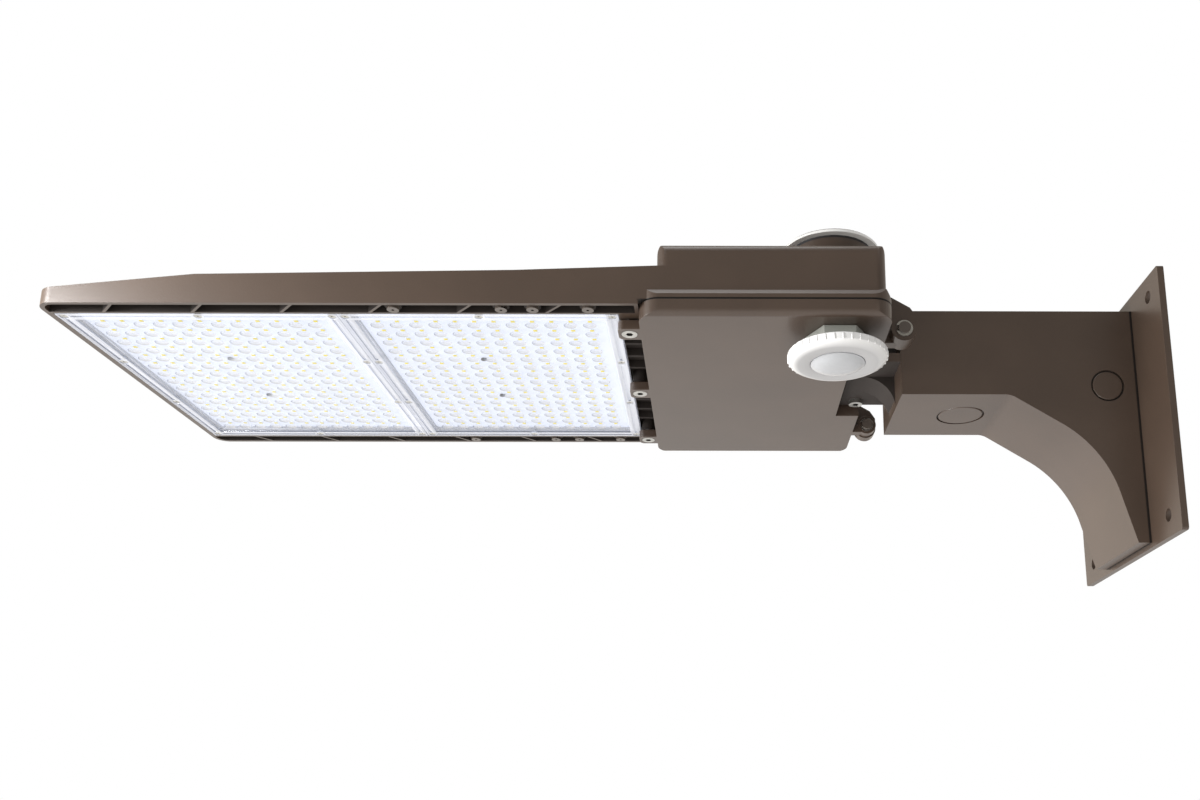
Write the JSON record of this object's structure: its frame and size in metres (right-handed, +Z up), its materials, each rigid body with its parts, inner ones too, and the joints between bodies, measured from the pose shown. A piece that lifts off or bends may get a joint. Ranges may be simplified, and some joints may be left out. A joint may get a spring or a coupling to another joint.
{
  "type": "area light",
  "caption": "Flat bronze area light on a cast arm with a wall plate, lens panels below, a hinged driver door, a motion sensor and a photocell receptacle.",
  "frame": {"origin": "centre of the wall plate's back face, which lies on the wall", "axes": "+X into the wall, so the lamp head reaches out along -X; +Y along the wall and the door's hinge line; +Z up"},
  "size_m": [0.905, 0.3195, 0.2606],
  "materials": {
    "bronze_paint": "fine textured powder coat, satin",
    "screw_steel": "satin",
    "sink_metal": "dark powder coat",
    "board_white": "white solder mask",
    "lens_clear": "clear, gloss",
    "gasket_black": "matt",
    "driver_case": "satin",
    "black_plastic": "matt",
    "grey_seal": "matt",
    "sensor_white": "satin",
    "sensor_grey": "matt",
    "window_frost": "frosted",
    "block_ivory": "satin"
  },
  "bodies": {
    "fixture": {"wall_plate": "bronze_paint", "arm": "bronze_paint", "plate_screws": "screw_steel", "side_plug": "bronze_paint", "bottom_plug": "bronze_paint", "neck": "bronze_paint", "neck_bolts": "screw_steel", "neck_screws": "screw_steel", "housing": "bronze_paint", "heat_sink": "sink_metal", "sink_screws": "screw_steel", "rim_screws": "screw_steel", "led_board_front": "board_white", "led_board_rear": "board_white", "board_screws": "screw_steel", "lens_gasket_front": "gasket_black", "lens_gasket_rear": "gasket_black", "lens_front": "lens_clear", "lens_rear": "lens_clear", "lens_screws": "screw_steel", "driver": "driver_case", "driver_screws": "screw_steel", "surge_protector": "black_plastic", "terminal_block": "block_ivory", "hinge_pins": "screw_steel", "hinge_clips": "screw_steel", "receptacle": "black_plastic", "receptacle_seal": "grey_seal"},
    "driver_door": {"door": "bronze_paint", "door_gasket": "gasket_black", "door_screws": "screw_steel", "sensor_base": "sensor_grey", "sensor_nut": "sensor_grey"},
    "sensor_head": {"sensor_ring": "sensor_white", "sensor_window": "window_frost"},
    "photocell_cap": {"receptacle_cap": "bronze_paint"}
  },
  "joints": [
    {"name": "door_hinge", "type": "hinge", "parent": "fixture", "child": "driver_door", "pos_m": [-0.221, 0, 0.0515], "axis": [0, -1, 0], "range_deg": [0, 90]},
    {"name": "sensor_twist", "type": "hinge", "parent": "driver_door", "child": "sensor_head", "pos_m": [-0.276, -0.119, 0.03], "axis": [0, 0, 1], "range_deg": [0, 30]},
    {"name": "photocell_twist", "type": "hinge", "parent": "fixture", "child": "photocell_cap", "pos_m": [-0.276, -0.085, 0.134], "axis": [0, 0, 1], "range_deg": [0, 20]}
  ]
}
